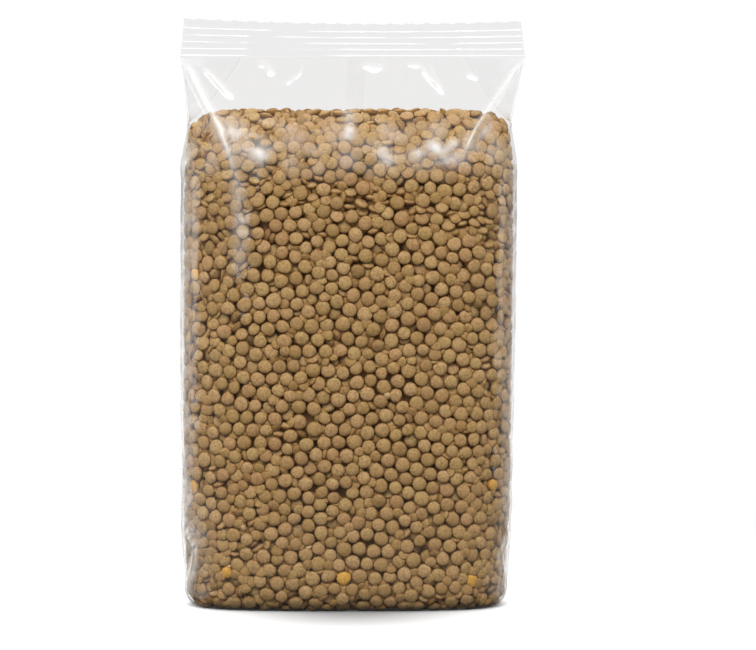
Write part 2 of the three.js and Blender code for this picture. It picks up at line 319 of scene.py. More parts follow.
def settle(layer, rounds, spacing, above=None, aboveSpacing=1.0):
    # pushes a layer's lentils apart: each pair whose reaches overlap moves apart by half of the
    # overlap, the settled layer above pushes one way only, and every point slides back onto the block.
    # The part of a push that points inwards sinks a loose lentil, and rise lifts it back to the film
    p, count = layer["points"], len(layer["points"])
    sink, loose, sinks = layer["sink"], layer["loose"], layer["sinks"]
    for step in range(rounds + 1):
        normals = blockNormal(p)
        frames = lentilFrames(lieNormals(p, normals), layer["tilt"], layer["heading"])
        axis = frames[0]
        depth = reachAlong(axis, layer["radii"], layer["halves"], normals) + sink
        centres = p - normals * depth[:, None]
        if step == rounds:
            break
        if step % 4 == 0:
            i, j = np.nonzero(np.triu(closePairs(centres, centres, lentil["pairReach"]), 1))
            if above is not None:
                m, n = np.nonzero(closePairs(centres, above["centres"], lentil["pairReach"]))
        room = spacing + 0.14 * max(0.0, 1 - 1.5 * step / rounds)  # wider at first, to even them out
        move = 0.45 * overlaps(centres, layer, axis, i, centres, layer, axis, j, room)
        shift = sumRows(i, move, count) - sumRows(j, move, count)
        if above is not None:
            move = 0.5 * overlaps(centres, layer, axis, m, above["centres"], above, above["frames"][0],
                                  n, aboveSpacing)
            shift += sumRows(m, move, count)
        shift = np.clip(shift, -1.5, 1.5)
        inward = -(shift * normals).sum(1) - layer["rise"]
        sink = np.where(loose, np.clip(sink + 0.7 * inward, *sinks), sink)
        p = ontoBlock(p + shift)
    layer.update(points=p, centres=centres, frames=frames, sink=sink)


def lentilPiece(name, layer, rows, material, rng):
    # one mesh of many lentils: each is the lens scaled, made slightly oval and wavy at the rim,
    # turned to its axis and moved to its centre
    rho, phi, height, fans, quads = lensShape()
    axis, first, second = (part[rows] for part in layer["frames"])
    centres, radii, halves = (layer[key][rows] for key in ("centres", "radii", "halves"))
    count, corners = len(centres), len(rho)
    spin = rng.random(count)[:, None] * 2 * np.pi
    oval = 1 + lentil["oval"] * np.cos(2 * (phi[None] - spin)) * rng.random(count)[:, None] * 2
    wobble = 1 + lentil["wobble"] * np.cos(3 * phi[None] + 5 * spin) * rng.random(count)[:, None] * 2
    reach = rho[None] * radii[:, None] * oval * wobble
    across = (reach * np.cos(phi[None]))[..., None] * first[:, None]
    along = (reach * np.sin(phi[None]))[..., None] * second[:, None]
    through = (height[None] * halves[:, None])[..., None] * axis[:, None]
    points = (centres[:, None] + across + along + through).reshape(-1, 3)
    steps = (np.arange(count) * corners)[:, None, None]
    faceSets = [(fans[None] + steps).reshape(-1, 3), (quads[None] + steps).reshape(-1, 4)]
    fields = {
        "tone": np.repeat(rng.random(count), corners),
        "spot": np.repeat(rng.random(count), corners),
        "rho": np.tile(rho, count),
    }
    return makePiece(name, points, faceSets, material, fields)


# Materials

def nodeTools(tree):
    # makers of a tree's nodes, where each input, by name or number, is a value or the socket that
    # feeds it. All but add put out the new node's socket
    def add(kind, inputs=None, **settings):
        node = tree.nodes.new(kind)
        for key, value in settings.items():
            setattr(node, key, value)
        for key, value in (inputs or {}).items():
            if isinstance(value, bpy.types.NodeSocket):
                tree.links.new(value, node.inputs[key])
            else:
                node.inputs[key].default_value = value
        return node

    def maths(operation, *values, **settings):
        return add("ShaderNodeMath", dict(enumerate(values)), operation=operation, **settings).outputs[0]

    def ranged(value, low, high, toLow=0.0, toHigh=1.0, **settings):
        # value from low to high becomes toLow to toHigh, straight unless the settings say otherwise
        inputs = {"Value": value, "From Min": low, "From Max": high, "To Min": toLow, "To Max": toHigh}
        return add("ShaderNodeMapRange", inputs, **settings).outputs["Result"]

    def blend(share, first, second, **settings):
        inputs = {"Factor": share, "A": first, "B": second}
        return add("ShaderNodeMix", inputs, data_type="RGBA", **settings).outputs["Result"]

    def mixed(share, first, second):
        # a shader that is first where share is 0 and second where it is 1
        return add("ShaderNodeMixShader", {0: share, 1: first, 2: second}).outputs[0]

    def attribute(name):
        return add("ShaderNodeAttribute", attribute_name=name).outputs["Fac"]

    def place(output="Object"):
        return add("ShaderNodeTexCoord").outputs[output]

    return SimpleNamespace(add=add, maths=maths, ranged=ranged, blend=blend, mixed=mixed,
                           attribute=attribute, place=place)


def emptyMaterial(name):
    # a material without nodes, and the makers of its nodes
    material = bpy.data.materials.new(name)
    material.use_nodes = True
    material.node_tree.nodes.clear()
    return material, nodeTools(material.node_tree)


def emptyGroup(name, inputs, outputs):
    # a shader node group with sockets given as names and kinds, and the makers of its nodes
    group = bpy.data.node_groups.new(name, "ShaderNodeTree")
    for way, sockets in (("INPUT", inputs), ("OUTPUT", outputs)):
        for socket, kind in sockets.items():
            group.interface.new_socket(name=socket, in_out=way, socket_type="NodeSocket" + kind)
    return group, nodeTools(group)


def fromScreen(red, green, blue):
    # a screen colour from 0 to 255 as linear light
    screen = np.array([red, green, blue]) / 255
    linear = np.where(screen <= 0.04045, screen / 12.92, ((screen + 0.055) / 1.055) ** 2.4)
    return (*linear.tolist(), 1.0)


skinLook = {
    "paleTones": (0.55, 1.0), "darkTones": (0.45, 0.0),  # tones that drift to pale and to dark
    "mottleScale": 1150.0, "mottleBand": (0.40, 0.66),
    "dimpledSpots": (0.86, 0.94), "dimpleReach": (0.42, 0.05), "dimpleShare": 0.55,
    # painted shade at the rim: where on the lentil it falls, and the brown it multiplies in
    "rimShadeReach": (0.82, 1.0), "rimShadeTint": (0.62, 0.49, 0.32, 1),
    "roughness": (0.46, 0.62),
    "grainScale": 1500.0, "grainShare": 0.5,
    "bumpStrength": 0.9, "bumpDistance": 0.0003,         # in metres
    "specular": 0.18, "drift": 0.4, "mottle": 0.85,
}


def skinGroup():
    # the lentils' skin: a base colour that drifts from lentil to lentil, fine mottling, a darker
    # middle on some, painted shade at the rim, and a slightly uneven surface
    group, tool = emptyGroup(
        "lentilSkin",
        {"Base": "Color", "Pale": "Color", "Dark": "Color", "Drift": "Float", "Mottle": "Float"},
        {"Colour": "Color", "Roughness": "Float", "Height": "Float"})
    given = tool.add("NodeGroupInput").outputs
    place = tool.place()
    tone, spot, rho = (tool.attribute(name) for name in ("tone", "spot", "rho"))
    # tone 0 to 1 becomes dark to pale about the base colour
    paleShare = tool.maths("MULTIPLY", tool.ranged(tone, *skinLook["paleTones"]), given["Drift"])
    darkShare = tool.maths("MULTIPLY", tool.ranged(tone, *skinLook["darkTones"]), given["Drift"])
    colour = tool.blend(paleShare, given["Base"], given["Pale"])
    colour = tool.blend(darkShare, colour, given["Dark"])
    # mottling about a millimetre across
    cloud = tool.add("ShaderNodeTexNoise", {"Vector": place, "Scale": skinLook["mottleScale"], "Detail": 4.0,
                                            "Roughness": 0.68}).outputs["Fac"]
    patches = tool.maths("MULTIPLY", tool.ranged(cloud, *skinLook["mottleBand"]), given["Mottle"])
    colour = tool.blend(patches, colour, given["Dark"])
    # on about a tenth of the lentils the middle shows a darker dimple
    dimple = tool.maths("MULTIPLY", tool.ranged(spot, *skinLook["dimpledSpots"]),
                        tool.ranged(rho, *skinLook["dimpleReach"]))
    colour = tool.blend(tool.maths("MULTIPLY", dimple, skinLook["dimpleShare"]), colour, given["Dark"])
    # painted shade: the rim is darkened and browned where it turns into the shade between neighbours
    rim = tool.ranged(rho, *skinLook["rimShadeReach"], interpolation_type="SMOOTHSTEP")
    colour = tool.blend(rim, colour, skinLook["rimShadeTint"], blend_type="MULTIPLY")
    # the skin is duller where it is mottled, and grainy
    grain = tool.add("ShaderNodeTexNoise", {"Vector": place, "Scale": skinLook["grainScale"],
                                            "Detail": 2.0}).outputs["Fac"]
    roughness = tool.ranged(cloud, 0.0, 1.0, *skinLook["roughness"])
    height = tool.maths("MULTIPLY_ADD", grain, skinLook["grainShare"], cloud)
    tool.add("NodeGroupOutput", {"Colour": colour, "Roughness": roughness, "Height": height})
    return group


def lentilMaterial(name, colours):
    # the skin group in the given base, pale and dark screen colours
    material, tool = emptyMaterial(name)
    base, pale, dark = (fromScreen(*colours[key]) for key in ("base", "pale", "dark"))
    look = tool.add("ShaderNodeGroup", {"Base": base, "Pale": pale, "Dark": dark, "Drift": skinLook["drift"],
                                        "Mottle": skinLook["mottle"]}, node_tree=skin).outputs
    bump = tool.add("ShaderNodeBump", {"Height": look["Height"], "Strength": skinLook["bumpStrength"],
                                       "Distance": skinLook["bumpDistance"]}).outputs["Normal"]
    shader = tool.add("ShaderNodeBsdfPrincipled",
                      {"Base Color": look["Colour"], "Roughness": look["Roughness"], "Normal": bump,
                       "Specular IOR Level": skinLook["specular"]}).outputs["BSDF"]
    tool.add("ShaderNodeOutputMaterial", {"Surface": shader})
    return material


filmLook = {
    "tint": 0.946,         # light that one layer lets through
    "foldTint": 0.996,     # the same where the sides are folded in
    "gloss": 0.04,         # share reflected head on
    "dullest": 0.15,       # share of the shine that is left where the dull attribute is 1
    "roughness": 0.14,
    "softRoughness": 0.3,  # the same where the film is slack, over the shoulder
    "graze": 0.6,          # whiteness of the film seen edge-on
}
sealLook = {"tint": 0.955, "gloss": 0.04, "roughness": 0.1, "graze": 0.0}
seamLook = {"tint": 0.997, "gloss": 0.008, "roughness": 0.12, "graze": 0.0}
# what all three share: sizes of the ripples and dents, and the whiteness of haze and painted sheen where the
# film's white-haze attribute is 1
filmSkin = {
    "rippleScale": 90.0, "rippleShare": 0.4, "dentScale": 175.0, "dentSmoothness": 0.6,
    "bumpStrength": 0.25, "bumpDistance": 0.0012, "milk": 0.6, "hazeAndSheenColour": (0.85, 0.835, 0.815, 1),
}


def rippleGroup():
    # the film's unevenness: 0.4 of a noise, plus dents of lentil size where it lies tight
    group, tool = emptyGroup("filmRipple", {"Tight": "Float"}, {"Height": "Float"})
    place = tool.place()
    tight = tool.add("NodeGroupInput").outputs["Tight"]
    ripple = tool.add("ShaderNodeTexNoise", {"Vector": place, "Scale": filmSkin["rippleScale"], "Detail": 3.0,
                                             "Roughness": 0.55}).outputs["Fac"]
    dents = tool.add("ShaderNodeTexVoronoi", {"Vector": place, "Scale": filmSkin["dentScale"],
                                              "Smoothness": filmSkin["dentSmoothness"]},
                     feature="SMOOTH_F1").outputs["Distance"]
    height = tool.maths("MULTIPLY_ADD", ripple, filmSkin["rippleShare"], tool.maths("MULTIPLY", dents, tight))
    tool.add("NodeGroupOutput", {"Height": height})
    return group


def sheenGroup():
    # the film's mirror share g + (1 - g) f^5 and its white haze m + e f^3, where f is 1 where it is
    # seen edge-on, g its gloss, m its haze and painted sheen and e its graze
    inputs = dict.fromkeys(("Facing", "Gloss", "Milk", "Graze"), "Float")
    group, tool = emptyGroup("filmSheen", inputs, {"Mirror": "Float", "Haze": "Float"})
    given = tool.add("NodeGroupInput").outputs
    fifth, third = (tool.maths("POWER", given["Facing"], power) for power in (5.0, 3.0))
    rest = tool.maths("SUBTRACT", 1.0, given["Gloss"])
    mirror = tool.maths("MULTIPLY_ADD", fifth, rest, given["Gloss"], use_clamp=True)
    whitened = tool.maths("MULTIPLY", given["Milk"], filmSkin["milk"])
    haze = tool.maths("MULTIPLY_ADD", third, given["Graze"], whitened, use_clamp=True)
    tool.add("NodeGroupOutput", {"Mirror": mirror, "Haze": haze})
    return group


def filmMaterial(name, look):
    # clear film: see-through with a white haze where it is crumpled or folded at the sides and corners or
    # seen edge-on, white painted sheen over the shoulder and along the front's creases, and a mirror over
    # both
    material, tool = emptyMaterial(name)
    ripple = tool.add("ShaderNodeGroup", {"Tight": tool.attribute("tight")}, node_tree=ripples).outputs
    bump = tool.add("ShaderNodeBump", {"Height": ripple["Height"], "Strength": filmSkin["bumpStrength"],
                                       "Distance": filmSkin["bumpDistance"]}).outputs["Normal"]
    facing = tool.add("ShaderNodeLayerWeight", {"Blend": 0.5, "Normal": bump}).outputs["Facing"]
    given = {"Facing": facing, "Gloss": look["gloss"], "Milk": tool.attribute("milk"), "Graze": look["graze"]}
    sheen = tool.add("ShaderNodeGroup", given, node_tree=sheens).outputs
    mirror, roughness = sheen["Mirror"], look["roughness"]
    tint = (look["tint"], look["tint"], look["tint"], 1)
    if "foldTint" in look:
        # the bag is clearer where its sides are folded in, and shines less there and between the
        # sheens of the slack shoulder, where it is also rougher
        foldTint = (look["foldTint"], look["foldTint"], look["foldTint"], 1)
        tint = tool.blend(tool.attribute("folded"), tint, foldTint)
        shine = tool.ranged(tool.attribute("dull"), 0.0, 1.0, 1.0, look["dullest"])
        mirror = tool.maths("MULTIPLY", mirror, shine)
        roughness = tool.ranged(tool.attribute("slack"), 0.0, 1.0, roughness, look["softRoughness"])
    clear = tool.add("ShaderNodeBsdfTransparent", {"Color": tint}).outputs[0]
    white = tool.add("ShaderNodeBsdfDiffuse", {"Color": filmSkin["hazeAndSheenColour"]}).outputs[0]
    gloss = tool.add("ShaderNodeBsdfPrincipled", {"Base Color": (0.98, 0.98, 0.98, 1), "Metallic": 1.0,
                                                  "Roughness": roughness, "Normal": bump}).outputs[0]
    surface = tool.mixed(mirror, tool.mixed(sheen["Haze"], clear, white), gloss)
    tool.add("ShaderNodeOutputMaterial", {"Surface": surface})
    return material


coreLook = {
    "near": (172, 128, 74), "far": (116, 80, 42), "cellScale": 170.0, "roughness": 0.8, "specular": 0.2,
}


def coreMaterial():
    # painted shade between the lentils: a brown sheet inside them, darker away from the middles of its cells,
    # as in crevices
    material, tool = emptyMaterial("innerShade")
    cells = tool.add("ShaderNodeTexVoronoi", {"Vector": tool.place(), "Scale": coreLook["cellScale"]})
    ramp = tool.add("ShaderNodeValToRGB", {"Fac": cells.outputs["Distance"]})
    for stop, key in zip(ramp.color_ramp.elements, ("near", "far")):
        stop.color = fromScreen(*coreLook[key])
    shader = tool.add("ShaderNodeBsdfPrincipled",
                      {"Base Color": ramp.outputs["Color"], "Roughness": coreLook["roughness"],
                       "Specular IOR Level": coreLook["specular"]}).outputs["BSDF"]
    tool.add("ShaderNodeOutputMaterial", {"Surface": shader})
    return material


skin, ripples, sheens = skinGroup(), rippleGroup(), sheenGroup()


# Lentils in place: an outer layer against the film, a second one that fills its gaps, and a core

heap = {
    "rowGap": 5.62, "rowClimb": 4.86, "rowJitter": 0.9,  # starting rows of the outer layer
    "rounds": 120, "spacing": 0.985,
    "filmGap": 0.15,                                     # between the lentils and the block's surface
    "bandHeight": 163.0, "bandSlope": 0.22, "bandWidth": 9.0,
    "lean": (0.3, 0.9), "onEdge": (1.0, 1.4),            # tilts in radians
    # shares on edge and leaning: anywhere, then more in the band, in the side strips and at the crown
    "edgeShares": (0.025, 0.52, 0.10, 0.15), "leanShares": (0.14, 0.15, 0.20, 0.3),
    "twinStep": 2.5,
    "rise": 0.02, "riseBehind": 0.09,                    # back towards the film in each round
}
rng = np.random.default_rng(lentil["seed"])


def newLayer(points, radiusShare, low, high):
    # sizes for a layer of lentils at its starting points
    count = len(points)
    spread = rng.standard_normal(count).clip(low, high)
    radii = lentil["radius"] * radiusShare * (1 + lentil["radiusSpread"] * spread)
    halves = radii * lentil["thickness"] * (1 + lentil["thicknessSpread"] * rng.standard_normal(count))
    return {"points": points, "radii": radii, "halves": halves}


def placeOuter():
    # most lie flat against the film; some lean or stand on edge, more of them in a band under the
    # shoulder, exp(-(way from its middle / width)^2), at the left and right and over the top
    points = rowPoints(heap["rowGap"], heap["rowClimb"], heap["rowJitter"], rng)
    count = len(points)
    x, y, z = points.T
    band = np.exp(-((z - heap["bandHeight"] + heap["bandSlope"] * x) / heap["bandWidth"]) ** 2)
    strip = smoothStep(np.abs(x), 40, 56)
    crown = smoothStep(z, 190, 196)
    flat, inBand, inStrip, atCrown = heap["edgeShares"]
    edgeShare = flat + inBand * band + inStrip * strip * (1 - band) + atCrown * crown
    flat, inBand, inStrip, atCrown = heap["leanShares"]
    leanShare = flat + inStrip * strip + inBand * band + atCrown * crown
    draw = rng.random(count)
    onEdge = draw < edgeShare
    leaning = (draw < edgeShare + leanShare) & ~onEdge
    tilt = np.abs(rng.normal(0, 0.10, count))
    tilt = np.where(leaning, rng.uniform(*heap["lean"], count), tilt)
    tilt = np.where(onEdge, rng.uniform(*heap["onEdge"], count), tilt)
    # lentils lie down in the band, and turn their rims up the strips at the sides
    free = rng.uniform(0, 2 * np.pi, count)
    lying = rng.normal(0, 0.3, count)
    upright = np.pi / 2 + rng.normal(0, 0.5, count) + np.pi * (rng.random(count) < 0.5)
    choice = rng.random(count)
    heading = np.where(choice < 0.35 + 0.6 * band, lying, free)
    heading = np.where((choice > 0.3) & (strip > 0.5) & (band < 0.5), upright, heading)
    loose = leaning | onEdge | (rng.random(count) < 0.10)
    # every lentil on edge has a twin beside it, a step along its axis
    axis = lentilFrames(blockNormal(points), tilt, heading)[0]
    twins = ontoBlock(points[onEdge] + heap["twinStep"] * axis[onEdge])
    layer = newLayer(np.concatenate([points, twins]), 1.0, -2.2, 2.0)
    tilt, heading, loose, crown, onEdge = (np.concatenate([v, v[onEdge]]) for v in
                                           (tilt, heading, loose, crown, onEdge))
    count = len(tilt)
    sink = heap["filmGap"] + np.abs(rng.normal(0, 0.10, count))
    sink += loose * rng.uniform(0.1, 0.6, count) + crown * rng.uniform(-0.6, 1.2, count)
    sinks = (np.where(crown > 0, -0.6, 0.12), np.where(onEdge, 0.9, 2.2))
    layer.update(tilt=tilt + rng.normal(0, 0.05, count), heading=heading + rng.normal(0, 0.1, count),
                 sink=sink, loose=loose, sinks=sinks, rise=heap["rise"])
    settle(layer, heap["rounds"], heap["spacing"])
    return layer


# the two layers behind: size is the share of the outer ones' radius, sink the depth at the start
behind = {
    "fill": {"count": 1900, "size": 0.84, "sink": 0.4, "tilts": (0.1, 1.25),
             "rounds": 70, "spacing": 0.90, "aboveSpacing": 0.82},
    "deep": {"count": 1800, "size": 0.97, "sink": 1.5, "tilts": (0.0, 0.8),
             "rounds": 30, "spacing": 0.95, "aboveSpacing": 0.8},
}


def placeBehind(kind, above):
    # a deeper layer, pushed into the gaps of the one above
    count, sink = kind["count"], kind["sink"]
    layer = newLayer(startPoints(count, rng), kind["size"], -2.5, 2.5)
    layer.update(tilt=rng.uniform(*kind["tilts"], count), heading=rng.uniform(0, 2 * np.pi, count),
                 sink=sink + 0.9 * rng.random(count), loose=np.ones(count, bool),
                 sinks=(sink - 0.2, sink + 2.4), rise=heap["riseBehind"])
    settle(layer, kind["rounds"], kind["spacing"], above, kind["aboveSpacing"])
    return layer


outer = placeOuter()
fill, deep = (placeBehind(kind, outer) for kind in behind.values())
print("lentils placed in three layers:", len(outer["points"]), len(fill["points"]), len(deep["points"]))

yellow = {
    "base": (212, 162, 72), "pale": (224, 180, 94), "dark": (190, 136, 52),
    "places": ((-2.7, -25, 16.5), (-51, -22, 12.4), (51.7, -22, 9.2), (55.7, -18, 48.4), (-62.0, -14, 49.0),
               (-62.5, -14, 132.0), (20, 25, 60), (-41, 25, 131), (60, 14, 92), (-61, 12, 77)),
    "flattest": 0.35, "shallowest": 0.45,  # limits of their tilt and depth
}


def nearestRows(places, layer):
    # for each place, the row of the nearest lentil that lies flat against the film
    gaps = np.linalg.norm(np.array(places)[:, None] - layer["centres"][None], axis=2)
    hidden = (layer["tilt"] > yellow["flattest"]) | (layer["sink"] > yellow["shallowest"])
    return np.unique((gaps + 100 * hidden[None]).argmin(1))


draws = rng.random(len(outer["points"]))
taken = np.zeros(len(draws), bool)
taken[nearestRows(yellow["places"], outer)] = True
lentilPieces = [lentilPiece("lentils_yellow", outer, taken, lentilMaterial("yellowSkin", yellow), rng)]

# shades of the outer lentils, with the share of them that each one has
kinds = {
    "lentils_olive": {"share": 0.45, "base": (181, 149, 97), "pale": (196, 167, 117), "dark": (142, 108, 62)},
    "lentils_tan": {"share": 0.39, "base": (184, 150, 101), "pale": (200, 168, 123), "dark": (144, 109, 66)},
    "lentils_rosy": {"share": 0.13, "base": (184, 148, 101), "pale": (199, 166, 122), "dark": (144, 107, 66)},
    "lentils_dull": {"share": 0.03, "base": (172, 140, 90), "pale": (186, 156, 107), "dark": (130, 99, 57)},
}
start = 0.0
for name, kind in kinds.items():
    chosen = (draws >= start) & (draws < start + kind["share"]) & ~taken
    start += kind["share"]
    lentilPieces.append(lentilPiece(name, outer, chosen, lentilMaterial(name + "Skin", kind), rng))

# every second lentil of a layer behind is in its first piece, and the others are in its second
# the fill's shades are a little darker than the outer ones', and the deep layer's are paler than the fill's,
# as painted light that lifts the shade it lies in
fillOlive = {"base": (176, 143, 88), "pale": (192, 160, 108), "dark": (134, 101, 55)}
fillTan = {"base": (178, 142, 90), "pale": (194, 160, 112), "dark": (136, 102, 58)}
deepTanLightened = {"base": (182, 146, 92), "pale": (196, 163, 110), "dark": (150, 111, 62)}
for layer, names, looks in ((fill, ("lentils_fill_olive", "lentils_fill_tan"), (fillOlive, fillTan)),
                            (deep, ("lentils_deep_a", "lentils_deep_b"), (deepTanLightened, deepTanLightened))):
    for odd, (name, kind) in enumerate(zip(names, looks)):
        chosen = np.arange(len(layer["points"])) % 2 == odd
        lentilPieces.append(lentilPiece(name, layer, chosen, lentilMaterial(name + "Skin", kind), rng))

chips = {
    "base": (206, 176, 130), "pale": (222, 196, 154), "dark": (176, 140, 92),
    "count": 26, "radius": 1.5, "flatness": 0.55, "rounds": 30, "aboveSpacing": 0.8,
}


def placeChips():
    # broken bits of split lentils, pale inside, wedged between the outer ones
    count = chips["count"]
    layer = newLayer(startPoints(count, rng), chips["radius"] / lentil["radius"], -2.5, 2.5)
    layer["halves"] = layer["radii"] * chips["flatness"]
    layer.update(tilt=rng.uniform(0.2, 1.4, count), heading=rng.uniform(0, 2 * np.pi, count),
                 sink=rng.uniform(0.2, 0.6, count), loose=np.ones(count, bool),
                 sinks=(0.1, 1.2), rise=heap["rise"])
    settle(layer, chips["rounds"], 1.0, outer, chips["aboveSpacing"])
    return layer


lentilPieces.append(lentilPiece("lentils_chips", placeChips(), np.ones(chips["count"], bool),
                                lentilMaterial("chipSkin", chips), rng))
print("lentil pieces made:", [(piece.name, len(piece.data.polygons)) for piece in lentilPieces])

coreShape = {"depth": 4.9, "bump": 0.8, "rows": 70, "columns": 150}


def makeCore():
    # the block's surface drawn in by depth + bump * (sin x sin z + sin y), on a grid of latitude and
    # longitude about the middle, closed at both poles
    rows, columns = coreShape["rows"], coreShape["columns"]
    rise = np.linspace(0, np.pi, rows)[1:-1]
    turn = 2 * np.pi * np.arange(columns) / columns
    rise, turn = np.meshgrid(rise, turn, indexing="ij")
    around = np.stack([np.sin(rise) * np.cos(turn) * 70, np.sin(rise) * np.sin(turn) * 30,
                       100 - np.cos(rise) * 110], axis=-1).reshape(-1, 3)
    ends = np.array([[0.0, 0.0, -10.0], [0.0, 0.0, 210.0]])
    points = ontoBlock(np.concatenate([around, ends]))
    wave = (np.sin(points[:, 0] * 1.1) * np.sin(points[:, 2] * 1.05) + np.sin(points[:, 1] * 1.2))
    points -= blockNormal(points) * (coreShape["depth"] + coreShape["bump"] * wave)[:, None]
    quads = gridFaces(rows - 2, columns)
    ring = np.arange(columns)
    after = (ring + 1) % columns
    lowPole, highPole = len(around), len(around) + 1
    top = (rows - 3) * columns
    fans = np.concatenate([np.stack([np.full_like(ring, lowPole), after, ring], axis=1),
                           np.stack([np.full_like(ring, highPole), top + ring, top + after], axis=1)])
    return makePiece("lentils_core", points, [quads, fans], coreMaterial())


lentilPieces.append(makeCore())


# Film: the bag's skin up to the seal, folded in at both sides, then the crimped seal

film = {
    "halfWidth": 67.0, "waist": 64.2, "top": 68.6,  # half widths at mid height, at the waist and the seal
    "waistHeight": 191.0,
    "narrowHigh": 0.7, "narrowLow": 1.5,            # narrower by these in the lower half and near the base
    "baseRadius": 7.5, "baseInset": 6.0,
    "halfDepthGap": 0.35, "leaves": 190.0,          # outside the lentils up to where it leaves them
    "ridge": (50.5, 67.4),                          # front fold line, at the waist and at the seal
    "edgeDepth": 11.0, "gussetDepth": 25.5, "gussetRoot": 193.0, "gussetPower": 0.85,
    "sealHalf": 0.35,
    "frontColumns": 92, "sideColumns": 22,          # in one quarter
    "edgeShare": 0.80, "ridgeShare": 0.585,         # places of the side edge and the ridge in a quarter
    "sectionSize": (66.9, 26.5),
    "softness": 1.6,                                # how far folds are rounded, in columns
    "baseRows": 12, "edgeRows": 9, "wallRows": 74, "upperRows": 122,
    "edgeTop": 8.0, "wallTop": 176.0,
}


def shareAbove(z, low):
    # 0 at the height low to 1 at the seal, unclipped
    return (z - low) / (body["sealBottom"] - low)


def filmHalfWidth(z):
    # outer outline: nearly straight, round at the base, a waist where the film leaves the lentils
    wide = film["halfWidth"] - film["narrowHigh"] * (1 - smoothStep(z, 40, 110))
    wide = wide - film["narrowLow"] * (1 - smoothStep(z, 4, 34))
    wide = wide - roundBase(z, film["baseRadius"], film["baseInset"])
    waist = wide + (film["waist"] - film["halfWidth"]) * smoothStep(z, 174, 194)
    flare = (film["top"] - film["waist"]) * np.clip(shareAbove(z, film["waistHeight"]), 0, 1) ** 1.15
    return waist + flare


def filmHalfDepth(z):
    # on the lentils up to where it leaves them, then straight to the seal
    hug = lentilHalfDepth(np.minimum(z, film["leaves"])) + film["halfDepthGap"]
    share = np.clip(shareAbove(z, film["leaves"]), 0, 1)
    return hug * (1 - share) + film["sealHalf"] * share


def quarterShares():
    # places of the columns in a quarter, 0 at the middle of a face and 1 at the middle of a side
    front = np.linspace(0, film["edgeShare"], film["frontColumns"], endpoint=False)
    side = np.linspace(film["edgeShare"], 1, film["sideColumns"] + 1)
    return np.concatenate([front, side])


def sectionQuarter(share):
    # x and y of |x|^4 + |y|^2.5 = 1 at shares of its length, for sides as long as the body's
    wide, deep = film["sectionSize"]
    turn = np.linspace(0, np.pi / 2, 2000)
    x = np.sin(turn) ** (2 / body["sectionX"])
    y = np.cos(turn) ** (2 / body["sectionY"])
    along = np.concatenate([[0], np.cumsum(np.hypot(np.diff(x) * wide, np.diff(y) * deep))])
    along /= along[-1]
    return np.interp(share, along, x), np.interp(share, along, y)


def filmQuarter(z, share):
    # x and y of a quarter at heights z (rows) and shares (columns): the body's section, which
    # turns into front, side facet and folded-in gusset between straight fold lines above
    unitX, unitY = sectionQuarter(share)
    wide, deep = filmHalfWidth(z)[:, None], filmHalfDepth(z)[:, None]
    roundX, roundY = wide * unitX, deep * unitY
    climb = np.clip(shareAbove(z, film["waistHeight"]), -0.3, 1)[:, None]
    ridgeX = film["ridge"][0] + (film["ridge"][1] - film["ridge"][0]) * climb
    edgeY = film["sealHalf"] * 0.6 + film["edgeDepth"] * (1 - np.clip(climb, 0, 1))
    inward = np.clip(shareAbove(z, film["gussetRoot"]), 0, 1)[:, None]
    creaseX = wide - film["gussetDepth"] * inward ** film["gussetPower"]
    q1, q2 = film["ridgeShare"], film["edgeShare"]
    s = share[None, :]
    onFace = np.clip(s / q1, 0, 1)
    onFacet = np.clip((s - q1) / (q2 - q1), 0, 1)
    onFold = np.clip((s - q2) / (1 - q2), 0, 1)
    flatX = ridgeX * onFace + (wide - ridgeX) * onFacet + (creaseX - wide) * onFold
    flatY = deep + (edgeY - deep) * onFacet - edgeY * onFold
    folded = smoothStep(z, 180, 197)[:, None]
    return roundX * (1 - folded) + flatX * folded, roundY * (1 - folded) + flatY * folded


def fullRing(x, y):
    # the quarter mirrored to all four, anticlockwise from the middle of the right side
    quarter = np.stack([x, y], -1)
    turned = quarter[:, ::-1]
    parts = ((turned, (1, 1)), (quarter, (-1, 1)), (turned, (-1, -1)), (quarter, (1, -1)))
    return np.concatenate([part[:, :-1] * signs for part, signs in parts], axis=1)


def soften(ring, width):
    # every row is blurred along its columns, which rounds the folds
    reach = int(3 * width) + 1
    steps = np.arange(-reach, reach + 1)
    weights = np.exp(-0.5 * (steps / width) ** 2)
    weights /= weights.sum()
    return sum(w * np.roll(ring, step, axis=1) for w, step in zip(weights, steps))


def surfaceNormals(grid):
    # cross product of the steps along the columns and the rows of a closed grid
    across = np.roll(grid, -1, axis=1) - np.roll(grid, 1, axis=1)
    up = np.gradient(grid, axis=0)
    return unit(np.cross(across, up))


def lineCrease(points, ends, height, width):
    # a ridge along a line in x and z: height * exp(-(distance / width)^2), fading at both ends
    ends = np.array(ends, float)
    value = np.zeros(points.shape[:-1])
    lengths = np.concatenate([[0], np.cumsum(np.linalg.norm(np.diff(ends, axis=0), axis=1))])
    best = np.full(points.shape[:-1], 1e9)
    for k in range(len(ends) - 1):
        a, b = ends[k], ends[k + 1]
        run = b - a
        flat = points[..., [0, 2]]
        t = np.clip(((flat - a) @ run) / (run @ run), 0, 1)
        distance = np.linalg.norm(flat - (a + t[..., None] * run), axis=-1)
        along = (lengths[k] + t * (lengths[k + 1] - lengths[k])) / lengths[-1]
        fade = np.clip(np.minimum(along, 1 - along) * 5 + 0.15, 0, 1)
        closer = distance < best
        value = np.where(closer, height * fade * np.exp(-(distance / width) ** 2), value)
        best = np.minimum(best, distance)
    return value


